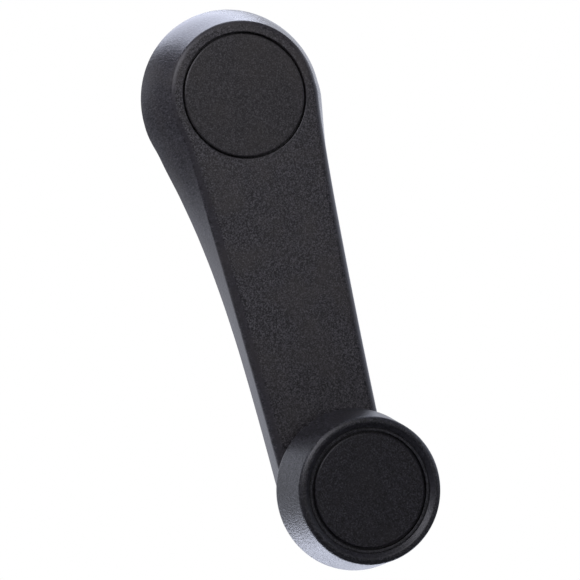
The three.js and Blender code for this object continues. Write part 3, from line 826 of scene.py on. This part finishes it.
def arm_seats(bm):
    in_wall = HEAD_RADIUS - WALL / 4
    floor_edge = POCKET_RADIUS + LIP / 4
    add_turned(bm, [(WELL_RADIUS, FLOOR_UNDERSIDE), (in_wall, FLOOR_UNDERSIDE),
                    (in_wall, POCKET_FLOOR + FIT), (floor_edge, POCKET_FLOOR + FIT),
                    (floor_edge, POCKET_FLOOR), (WELL_RADIUS + LIP, POCKET_FLOOR),
                    (WELL_RADIUS, POCKET_FLOOR - LIP)], ROUND_STEPS)
    add_post(bm, PIN_BOSS, bearing, in_roof, ROUND_STEPS // 2, KNOB_AXIS)
    add_turned(bm, [(0, in_roof - FIT), (SEAT_RADIUS, in_roof - FIT)]
               + rounded(SEAT_RADIUS - SEAT_ROUND, SEAT_FRONT - SEAT_ROUND, SEAT_ROUND, 0, 90)
               + [(0, SEAT_FRONT)], ROUND_STEPS, KNOB_AXIS)
    for spot in SCREW_SPOTS:
        add_post(bm, SCREW_BOSS, bearing, in_roof, ROUND_STEPS // 3, spot)


def arm_hollows(bm):
    for angle in LEG_ANGLES:
        add_prism(bm, ring_part(LEG_INNER - FIT, LEG_OUTER + FIT, angle, LEG_HALF + LEG_PLAY),
                  FLOOR_UNDERSIDE - OVERRUN, HEAD_DEPTH - LIP)
    mouth = bearing - OVERRUN
    add_post(bm, PIN_HOLE, mouth, SEAT_FRONT + OVERRUN, ROUND_STEPS // 3, KNOB_AXIS)
    for spot in SCREW_SPOTS:
        add_post(bm, SCREW_HOLE, mouth, bearing + SCREW_DEPTH, ROUND_STEPS // 4, spot)


hub_ring = solid("hub_ring", add_turned, [(HUB_RING_INNER, RIB_INSET), (HUB_RING_OUTER, RIB_INSET),
                                          (HUB_RING_OUTER, in_floor), (HUB_RING_INNER, in_floor)],
                 ROUND_STEPS)
gate_end = -HUB_RING_OUTER - OVERRUN
gate = solid("gate", add_prism, [(-CHANNEL, gate_end), (CHANNEL, gate_end), (CHANNEL, 0), (-CHANNEL, 0)],
             RIB_INSET - OVERRUN, bearing)
inside = weld(inside, cut(hub_ring, gate), tangled=True)
inside = weld(inside, solid("seats", arm_seats), tangled=True)
arm = cut(weld(arm, inside), solid("hollows", arm_hollows))
dress(arm, ARM_PLASTIC, "handle", ["arm_shell"])

# %% [markdown]
# ## The head's cover
#
# The cover is a plain disc that snaps into the head over the screw. Its face is level with the
# arm, so the ring round it reads as one thin black line. The line is finer in the photograph than
# in the CAD model, so the cover is a little wider here. The small rounding of its edge catches the
# light at the upper left. Three legs behind it go through slots in the pocket's floor.

# %% Make the cover
COVER_GROWTH = 0.1
COVER_EDGE = 0.34
COVER_BACK = 11.0
FLAT_RIM = 0.5
cap_radius, cap_behind, cap_front = reach("head_cap")
cap_radius += COVER_GROWTH


def cover_solid(bm):
    add_turned(bm, [(0, COVER_BACK), (cap_radius, COVER_BACK)]
               + rounded(cap_radius - COVER_EDGE, cap_front - COVER_EDGE, COVER_EDGE, 0, 90)
               + [(cap_radius - FLAT_RIM, cap_front), (0, cap_front)], FACE_STEPS)


def cover_legs(bm):
    for angle in LEG_ANGLES:
        add_prism(bm, ring_part(LEG_INNER, LEG_OUTER, angle, LEG_HALF), cap_behind, COVER_BACK + FIT)


cover = weld(solid("head_cover", cover_solid), solid("legs", cover_legs))
dress(cover, COVER_PLASTIC, "cover", ["head_cap"])

# %% [markdown]
# ## The knob
#
# The knob is turned from one outline: a side that tapers towards the front, a rounded shoulder, a
# crest, and a broad slope that falls inwards to a narrow step. A fine groove runs round the foot of
# the slope, and inside the step is the recess for the disc. Underneath, the knob is hollow, with a
# tube for the bushes and eight ribs. All roundings are small arcs in the outline.

# %% Turn the knob
KNOB_TRIM = 0.1
BASE_ROUND = 0.4
BASE_LAND = 0.6
TOP_RADIUS = 17.0
SHOULDER = 1.2
SHOULDER_DROP = 1.6
SHOULDER_DEGREES = range(4, 91, 6)
SLOPE_TOP = 15.6
SLOPE_FOOT = 14.3
GROOVE = 0.28
STEP_DROP = 1.15
SOFT_EDGE = 0.12
CREST_BEND = 0.5
CREST_STEPS = 4
RECESS_RADIUS = 13.6
RECESS_DEPTH = 4.4
KNOB_WALL = 2.3
WEB_THICKNESS = 1.8
TUBE_INNER = 5.77
TUBE_OUTER = 7.17
TUBE_BACK = 17.9
KNOB_RIBS = 8
RIB_BITE = 0.3
knob_radius, knob_base, knob_crest = reach("knob_sleeve", KNOB_AXIS)
knob_radius -= KNOB_TRIM
step_ring = knob_crest - STEP_DROP
web_front = step_ring - RECESS_DEPTH
web_back = web_front - WEB_THICKNESS


def knob_profile():
    outline = [(knob_radius - KNOB_WALL, knob_base)]
    outline += rounded(knob_radius - BASE_ROUND, knob_base + BASE_ROUND, BASE_ROUND, -90, 0)
    outline.append((knob_radius, knob_base + BASE_ROUND + BASE_LAND))
    for angle in (math.radians(a) for a in SHOULDER_DEGREES):
        outline.append((TOP_RADIUS - SHOULDER * (1 - math.cos(angle)),
                        knob_crest - SHOULDER_DROP * (1 - math.sin(angle))))
    slope = math.atan2(STEP_DROP, SLOPE_TOP - SLOPE_FOOT)
    for bend in (slope * k / CREST_STEPS for k in range(CREST_STEPS + 1)):
        outline.append((SLOPE_TOP - CREST_BEND * math.sin(bend),
                        knob_crest - CREST_BEND * (1 - math.cos(bend))))
    groove_out = SLOPE_FOOT + GROOVE / 2
    groove_in = SLOPE_FOOT - GROOVE / 2
    outline += [(groove_out, step_ring + GROOVE / 2 * math.tan(slope)),
                (groove_out, step_ring - GROOVE), (groove_in, step_ring - GROOVE),
                (groove_in, step_ring), (RECESS_RADIUS + SOFT_EDGE, step_ring),
                (RECESS_RADIUS + SOFT_EDGE / 4, step_ring - SOFT_EDGE / 4),
                (RECESS_RADIUS, step_ring - SOFT_EDGE), (RECESS_RADIUS, web_front),
                (TUBE_INNER, web_front), (TUBE_INNER, TUBE_BACK), (TUBE_OUTER, TUBE_BACK),
                (TUBE_OUTER, web_back), (TOP_RADIUS - KNOB_WALL, web_back)]
    return outline


def knob_ribs(bm):
    in_wall = knob_radius - KNOB_WALL + RIB_BITE
    in_tube = (TUBE_INNER + TUBE_OUTER) / 2
    in_web = (web_front + web_back) / 2
    for share in (k / KNOB_RIBS for k in range(KNOB_RIBS)):
        ring_rib(bm, share, KNOB_AXIS, SEAT_RADIUS, in_wall, knob_base + RIB_INSET, in_web)
        ring_rib(bm, share, KNOB_AXIS, in_tube, SEAT_RADIUS + FIT, TUBE_BACK, in_web)


knob = solid("knob_body", add_turned, knob_profile(), KNOB_STEPS, KNOB_AXIS)
knob = weld(knob, solid("knob_ribs", knob_ribs), tangled=True)
dress(knob, KNOB_PLASTIC, "knob", ["knob_sleeve"])

# %% [markdown]
# ## The disc in the knob
#
# A separate flat disc closes the knob's recess and hides the end of the pin. It is a darker
# moulding than the rest. Its rounded upper edge stands back from the recess above a low flange, so
# a dark gap runs round it. The flange and a short skirt centre it.

# %% Make the disc
DISC_GROWTH = 0.12
DISC_EDGE = 0.3
DISC_THICKNESS = 1.5
SKIRT = 1.2
REBATE = 1.2
disc_radius, disc_behind, disc_front = reach("knob_disc", KNOB_AXIS)
disc_radius += DISC_GROWTH
disc_back = disc_front - DISC_THICKNESS
flange_front = disc_front - REBATE
flange_radius = RECESS_RADIUS - FIT / 5
disc_outline = [(0, disc_back), (disc_radius - SKIRT, disc_back), (disc_radius - SKIRT, disc_behind),
                (disc_radius, disc_behind), (flange_radius, flange_front - FIT),
                (flange_radius, flange_front), (disc_radius, flange_front)]
disc_outline += rounded(disc_radius - DISC_EDGE, disc_front - DISC_EDGE, DISC_EDGE, 0, 90)
disc_outline += [(disc_radius - FLAT_RIM, disc_front), (0, disc_front)]
disc = solid("knob_face", add_turned, disc_outline, FACE_STEPS, KNOB_AXIS)
dress(disc, DISC_PLASTIC, "knob", ["knob_disc"])

# %% [markdown]
# ## The hub
#
# From behind, the hub is the piece that tells what the handle is for: a stout metal boss with fine
# internal splines. The boss is turned, and a star-shaped prism cuts the splines. A cone opens
# their mouth, so that the handle finds its way onto the spindle. These hollows run into each
# other, so the cut is told so.

# %% Make the hub
HUB_BODY = 7.6
HUB_NECK = 7.3
HUB_EDGE = 0.5
FLANGE_BACK = 4.95
FLANGE_FRONT = 6.95
SPLINES = 24
SPLINE_ROOT = 5.2
SPLINE_TIP = 4.7
MOUTH_FLARE = 1.3
MOUTH_DEPTH = 0.8
SOCKET_END = 3.0
SCREW_SEAT = 5.0
SCREW_BORE = 2.75
hub_flange, hub_tail, hub_front = reach("spline_hub")


def hub_hollows(bm):
    star = []
    for i in range(2 * SPLINES):
        radius = SPLINE_TIP if i % 2 else SPLINE_ROOT
        angle = math.pi * i / SPLINES
        star.append((radius * math.cos(angle), radius * math.sin(angle)))
    add_prism(bm, star, hub_tail - 2 * OVERRUN, SOCKET_END)
    mouth = hub_tail - OVERRUN
    throat = hub_tail + MOUTH_DEPTH
    add_turned(bm, [(0, mouth), (SPLINE_ROOT + MOUTH_FLARE, mouth), (SPLINE_TIP, throat), (0, throat)],
               SMALL_STEPS)
    bore_start = SOCKET_END - OVERRUN
    top = hub_front + OVERRUN
    add_turned(bm, [(0, bore_start), (SCREW_BORE, bore_start), (SCREW_BORE, SCREW_SEAT),
                    (WELL_RADIUS, SCREW_SEAT), (WELL_RADIUS, top), (0, top)], SMALL_STEPS)


hub_outline = [(0, hub_tail)] + rounded(HUB_BODY - HUB_EDGE, hub_tail + HUB_EDGE, HUB_EDGE, -90, 0)
hub_outline += [(HUB_BODY, FLANGE_BACK), (hub_flange, FLANGE_BACK), (hub_flange, FLANGE_FRONT),
                (HUB_NECK, FLANGE_FRONT), (HUB_NECK, hub_front), (0, hub_front)]
hub = solid("splined_hub", add_turned, hub_outline, HUB_STEPS)
hub = cut(hub, solid("hub_hollows", hub_hollows), tangled=True)
dress(hub, ZINC, "handle", ["spline_hub"])

# %% [markdown]
# ## Screws and washers
#
# The hub's screw has a domed head with a cross recess, which shows when the cover is lifted. The
# four small screws hold the core from behind. Both are a turned outline and a cross-shaped
# cutter, so one helper makes the cutter for both. A power below 1 makes a dome fuller.

# %% Make the big screw
def add_cross(bm, arm_length, width, behind, before, centre=(0.0, 0.0)):
    half = width / 2
    quarter = [(half, half), (half, arm_length), (-half, arm_length)]
    outline = []
    for turn in range(4):
        for x, z in quarter:
            for _ in range(turn):
                x, z = -z, x
            outline.append((centre[0] + x, centre[1] + z))
    add_prism(bm, outline, behind, before)


SCREW_RADIUS = 2.5
SCREW_POINT = 0.5
DOME = 1.95
DOME_FULLNESS = 0.45
DOME_DEGREES = range(0, 86, 5)
HEAD_BACK = 7.75
CROSS_WIDTH = 1.1
CROSS_DEPTH = 1.5
head_radius, screw_tip, screw_front = reach("hub_screw")
screw_outline = [(0, screw_tip), (SCREW_RADIUS - SCREW_POINT, screw_tip),
                 (SCREW_RADIUS, screw_tip + SCREW_POINT), (SCREW_RADIUS, HEAD_BACK),
                 (head_radius, HEAD_BACK)]
for angle in (math.radians(a) for a in DOME_DEGREES):
    screw_outline.append((head_radius * math.cos(angle) ** DOME_FULLNESS,
                          screw_front - DOME * (1 - math.sin(angle))))
screw_outline.append((0, screw_front))
screw = solid("hub_fixing", add_turned, screw_outline, SMALL_STEPS)
recess = solid("recess", add_cross, head_radius / 2, CROSS_WIDTH,
               screw_front - CROSS_DEPTH, screw_front + OVERRUN)
dress(cut(screw, recess), BRIGHT, "handle", ["hub_screw"])

# %% Make the washers under the big screw
WASHER_EDGE = 0.1
SPRING_INSET = 1.0
SLIT_SLANT = 0.5
SLIT_HALF = 0.4
SLIT_REACH = 8.0


def washer_outline(inner, outer, behind, before):
    return [(inner, behind), (outer - WASHER_EDGE, behind), (outer, behind + WASHER_EDGE),
            (outer, before - WASHER_EDGE), (outer - WASHER_EDGE, before), (inner, before)]


washer = solid("flat_washer", add_turned, washer_outline(SCREW_BORE, *reach("hub_washer")), SMALL_STEPS)
dress(washer, BRIGHT, "handle", ["hub_washer"])
spring_radius = reach("hub_washer")[0] - SPRING_INSET
spring_back, spring_front = reach("hub_spring_washer")[1:]
spring = solid("split_washer", add_turned,
               washer_outline(SCREW_BORE, spring_radius, spring_back, spring_front), SMALL_STEPS)
slit_outline = [(-SLIT_SLANT - SLIT_HALF, 0), (-SLIT_SLANT + SLIT_HALF, 0),
                (SLIT_SLANT + SLIT_HALF, SLIT_REACH), (SLIT_SLANT - SLIT_HALF, SLIT_REACH)]
slit = solid("slit", add_prism, slit_outline, spring_back - OVERRUN, spring_front + OVERRUN)
dress(cut(spring, slit), BRIGHT, "handle", ["hub_spring_washer"])

# %% The four small screws
THREAD_RADIUS = 1.25
SMALL_DOME = 0.9
SMALL_FULLNESS = 0.6
SMALL_DEGREES = range(12, 91, 13)
SMALL_HEAD = 1.5
SMALL_CROSS = 0.8
SMALL_SCREW_STEPS = 64
for k, spot in enumerate(SCREW_SPOTS):
    small_radius, small_back, small_tip = reach(f"core_screw_{k + 1}", spot)
    outline = [(0, small_back)]
    for angle in (math.radians(a) for a in SMALL_DEGREES):
        outline.append((small_radius * math.sin(angle) ** SMALL_FULLNESS,
                        small_back + SMALL_DOME * (1 - math.cos(angle))))
    head_front = small_back + SMALL_HEAD
    outline += [(small_radius, head_front), (THREAD_RADIUS, head_front),
                (THREAD_RADIUS, small_tip - THREAD_RADIUS), (0, small_tip)]
    small = solid(f"core_fixing_{k + 1}", add_turned, outline, SMALL_SCREW_STEPS, spot)
    recess = solid("recess", add_cross, small_radius / 2, SMALL_CROSS,
                   small_back - OVERRUN, small_back + SMALL_CROSS, spot)
    dress(cut(small, recess), BRIGHT, "handle", [f"core_screw_{k + 1}"])

# %% [markdown]
# ## The pin
#
# The knob turns on a shouldered steel pin that is riveted into the core. Only its head shows, from
# behind, so the outline is plain there apart from a rounded rivet head.

# %% Make the pin and its backing washer
RIVET_RADIUS = 4.6
RIVET_LAND = 1.0
RIVET_ROUND = 0.7
RIVET_HEAD = 0.8
PIN_NECK = 3.0
PIN_BODY = 4.5
PIN_TIP = 3.2
TIP_LENGTH = 1.3
TIP_BREAK = 0.4
BACKING_STEPS = 80
pin_back, pin_front = reach("knob_pin", KNOB_AXIS)[1:]
pin_outline = [(0, pin_back), (RIVET_RADIUS - RIVET_LAND, pin_back)]
pin_outline += rounded(RIVET_RADIUS - RIVET_ROUND, pin_back + RIVET_ROUND, RIVET_ROUND, -90, 0)
pin_outline += [(RIVET_RADIUS, pin_back + RIVET_HEAD), (PIN_NECK, pin_back + RIVET_HEAD),
                (PIN_NECK, SEAT_FRONT + FIT), (PIN_BODY, SEAT_FRONT + FIT),
                (PIN_BODY, pin_front - TIP_LENGTH), (PIN_TIP, pin_front - TIP_LENGTH),
                (PIN_TIP, pin_front - TIP_BREAK), (PIN_TIP - TIP_BREAK, pin_front), (0, pin_front)]
pin = solid("pivot_pin", add_turned, pin_outline, SMALL_STEPS, KNOB_AXIS)
dress(pin, BRIGHT, "handle", ["knob_pin"])
backing = solid("backing_washer", add_turned,
                washer_outline(PIN_HOLE, *reach("pin_washer", KNOB_AXIS)), BACKING_STEPS, KNOB_AXIS)
dress(backing, BRIGHT, "handle", ["pin_washer"])

# %% [markdown]
# ## Pieces that keep their CAD shape
#
# The pressed core, the thrust washer, the wave washer, the push nut and the two bushes are right
# as they are. They keep their mesh, and only their material slots change.

# %% Give the kept pieces their finishes
KEPT = {"core_plate": SHEET, "wave_washer": BRIGHT, "push_nut": BRIGHT, "thrust_washer": NYLON,
        "knob_bush_rear": NYLON, "knob_bush_front": NYLON}
for name, material in KEPT.items():
    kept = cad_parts[name]
    kept.data.materials.clear()
    kept.data.materials.append(material)
print("kept", ", ".join(KEPT))

# %% [markdown]
# ## Lamps
#
# The photograph shows where its lamps stood. The head's upper wall is almost white, so a large
# bright panel hung behind and above. The roundings shine at the upper left, so two softboxes stood
# there in front. A weak fill lifts the flat faces, a panel at the right draws the thin line along
# the arm's right edge, and two low ones behind light the lower walls. A panel's brightness is what
# a mirror would show, and its power follows from that and its area.

# %% Hang the lamps
MIDDLE = Vector((0.0, -0.012, -0.048))


def panel(name, way, distance, width, height, brightness, tint=(1.0, 1.0, 1.0)):
    data = bpy.data.lights.new(name, "AREA")
    data.shape = "RECTANGLE"
    data.size = width
    data.size_y = height
    data.energy = brightness * math.pi * width * height
    data.color = tint
    lamp = bpy.data.objects.new(name, data)
    way = Vector(way).normalized()
    lamp.location = MIDDLE + way * distance
    lamp.rotation_euler = way.to_track_quat("Z", "Y").to_euler()
    lamp.visible_camera = False
    scene.collection.objects.link(lamp)
    print(name, round(data.energy, 1), "W")


NEUTRAL = (1.0, 0.98, 1.01)
COOL = (0.90, 0.95, 1.15)
panel("main_softbox", (-0.04, -0.75, 0.66), 0.34, 0.28, 0.37, 0.8, NEUTRAL)
panel("left_softbox", (-0.58, -0.38, 0.72), 0.6, 0.38, 0.38, 3.0, (0.97, 0.97, 1.07))
panel("front_fill", (0.20, -0.98, 0.02), 0.55, 0.26, 0.28, 0.4, NEUTRAL)
panel("top_panel", (0.12, 0.63, 0.77), 0.9, 0.68, 0.68, 3.4, COOL)
panel("right_panel", (0.93, 0.25, 0.10), 0.9, 1.10, 0.50, 1.1, COOL)
panel("low_left_panel", (-0.54, 0.54, -0.64), 0.4, 0.32, 0.16, 3.6, COOL)
panel("low_panel", (0.07, 0.76, -0.64), 0.4, 0.46, 0.16, 2.4, COOL)

# %% [markdown]
# ## The white surroundings
#
# Behind the handle is a white sheet, which the camera sees at full white. The world stands for
# it: rays from the camera meet white all round, and every other ray meets the sheet only where it
# hangs, behind the handle and a little further to the left than to the right. The room in front
# stays dim, because with light from all round the black plastic would look grey and flat. Mirrored
# rays see the sheet in full, scattered ones a little less of it.

# %% Light the world
SHEET_RIGHT = 0.66
SHEET_LEFT = -0.72
SHEET_FADE = 7.0
SHEET_LIGHT = 0.85
ROOM_LIGHT = 0.055
ROOM_GLOW = 0.08
WHITE = (1, 1, 1, 1)
DAYLIGHT = (0.93, 0.96, 1.08, 1)
world = bpy.data.worlds.new("white_sheet")
scene.world = world
world.use_nodes = True
tree = world.node_tree
tree.nodes.clear()
way = node(tree, "TexCoord")
across, into, up = (node(tree, "SeparateXYZ", None, {0: way}, out=k) for k in range(3))
sheet = across.rise(SHEET_RIGHT, -SHEET_FADE) * across.rise(SHEET_LEFT, SHEET_FADE)
sheet = sheet * (up * up).rise(0.28, -12.0) * into.rise(0.0, 4.0)
room = across.rise(0.0, ROOM_GLOW) + ROOM_LIGHT
seen, mirrored, through = (node(tree, "LightPath", out=k) for k in (0, 3, 6))
sheet_light = SHEET_LIGHT + (mirrored + through) * (1 - SHEET_LIGHT)
light = sheet_light * sheet + room * (1 - sheet)
background = tree.nodes.new("ShaderNodeBackground")
join(tree, background.inputs["Strength"], seen + light * (1 - seen))
tint = node(tree, "Mix", {"data_type": "RGBA"}, {0: seen, 6: DAYLIGHT, 7: WHITE}, out=2)
join(tree, background.inputs["Color"], tint)
world_output = tree.nodes.new("ShaderNodeOutputWorld")
tree.links.new(background.outputs[0], world_output.inputs[0])
print("world ready")

# %% [markdown]
# ## The floor
#
# A pale round floor lies well below the handle, as the photographer's table does. The photograph's
# view passes over it, and the other views see it with the handle's soft shadow. It fades out
# towards its edge, so that no horizon cuts the white.

# %% Lay the floor
FLOOR_HEIGHT = -300.0
FLOOR_RADIUS = 480.0
FLOOR_RINGS = 12
FLOOR_FADE = 6.0


def floor_disc(bm):
    rings = [circle(bm, FLOOR_RADIUS * k / FLOOR_RINGS, 0.0, SMALL_STEPS)
             for k in range(1, FLOOR_RINGS + 1)]
    for first, second in zip(rings, rings[1:]):
        bridge(bm, first, second)
    bm.faces.new(rings[0])
    for vert in bm.verts:
        vert.co = (vert.co.x, vert.co.z, FLOOR_HEIGHT * MM)


floor = solid("pale_floor", floor_disc)
ground = Finish("pale_floor", Roughness=0.8)
paper = ground.noise(40.0, 4.0, 0.6)
ground.set(Base_Color=ground.blend(paper, grey(236), grey(244)))
spot = ground.node("SeparateXYZ", None, {0: ground.place}, out=0)
depth = ground.node("SeparateXYZ", None, {0: ground.place}, out=1)
from_middle = (spot * spot + depth * depth) ** 0.5
fade = from_middle.rise(FLOOR_RADIUS * MM, -FLOOR_FADE)
clear = ground.tree.nodes.new("ShaderNodeBsdfTransparent")
mixed = ground.tree.nodes.new("ShaderNodeMixShader")
join(ground.tree, mixed.inputs[0], fade)
ground.tree.links.new(clear.outputs[0], mixed.inputs[1])
ground.tree.links.new(ground.shader.outputs[0], mixed.inputs[2])
ground.tree.links.new(mixed.outputs[0], ground.output.inputs[0])
floor.data.materials.append(ground.material)
floor.visible_glossy = False
floor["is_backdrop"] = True
print("floor at", FLOOR_HEIGHT, "mm")

# %% [markdown]
# ## Colours as written, and a last look at the box
#
# The Standard view transform shows a colour as it was written. Then we compare both boxes and print
# their largest difference: the finer pieces must not reach further than the CAD model did.

# %% Compare the boxes and finish
scene.view_settings.view_transform = "Standard"
dressed_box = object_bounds()
growth = max(abs(a - b) for one, two in zip(cad_box, dressed_box) for a, b in zip(one, two))
print("largest difference between the boxes", round(growth / MM, 3), "mm")
